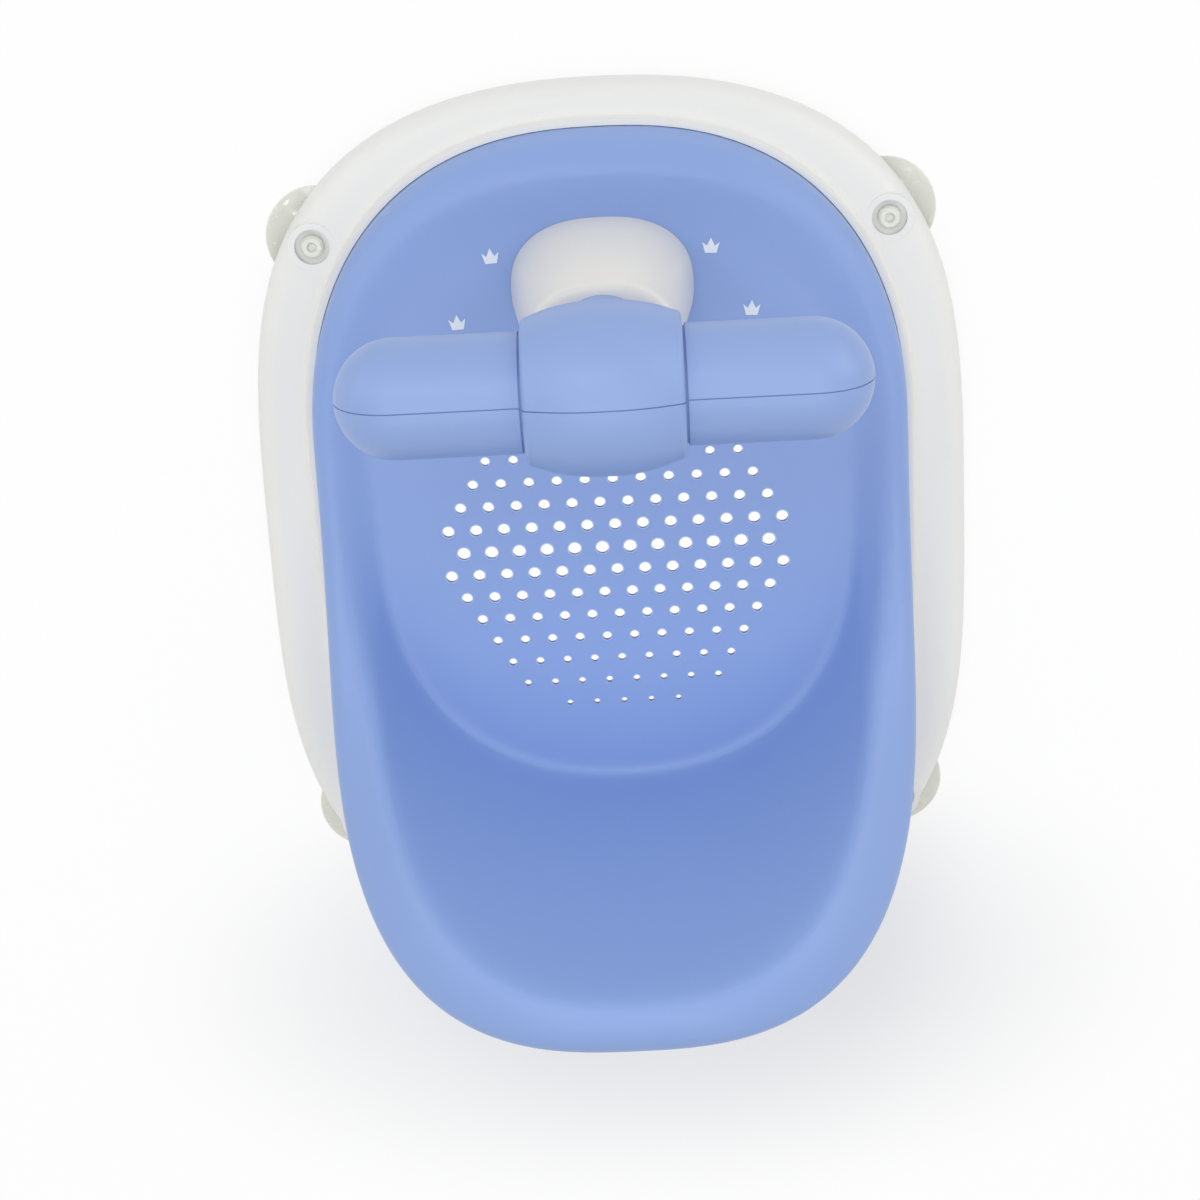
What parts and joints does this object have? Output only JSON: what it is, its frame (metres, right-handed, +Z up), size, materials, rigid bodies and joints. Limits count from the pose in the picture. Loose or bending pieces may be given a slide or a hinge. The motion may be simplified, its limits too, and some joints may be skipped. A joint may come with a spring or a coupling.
{
  "type": "baby bath seat",
  "caption": "Baby bath seat: a bucket seat with a low front and tall back on a white base with suction cups, and a rounded T-bar on a post between the legs.",
  "frame": {"origin": "on the tub's floor, under the middle of the base", "axes": "+Z up, +Y towards the backrest, +X to the left of a child who sits in it"},
  "size_m": [0.3094, 0.3934, 0.2182],
  "materials": {
    "seat_blue": "satin moulded polypropylene, cornflower blue",
    "base_white": "smooth white moulded polypropylene",
    "cup_clear": "clouded clear soft vinyl",
    "screw_steel": "plain steel"
  },
  "bodies": {
    "root": {"bar_screw_inner_left": "screw_steel", "bar_screw_inner_right": "screw_steel", "bar_screw_outer_left": "screw_steel", "bar_screw_outer_right": "screw_steel", "base_plate": "base_white", "front_post": "base_white", "post_screw_front": "screw_steel", "post_screw_left": "screw_steel", "post_screw_rear": "screw_steel", "post_screw_right": "screw_steel", "seat_screw_front_left": "screw_steel", "seat_screw_front_right": "screw_steel", "seat_screw_middle_left": "screw_steel", "seat_screw_middle_right": "screw_steel", "seat_screw_rear_left": "screw_steel", "seat_screw_rear_right": "screw_steel", "seat_shell": "seat_blue", "suction_cup_front_left": "cup_clear", "suction_cup_front_right": "cup_clear", "suction_cup_rear_left": "cup_clear", "suction_cup_rear_right": "cup_clear", "t_bar_front_half": "seat_blue", "t_bar_rear_half": "seat_blue"}
  },
  "joints": []
}
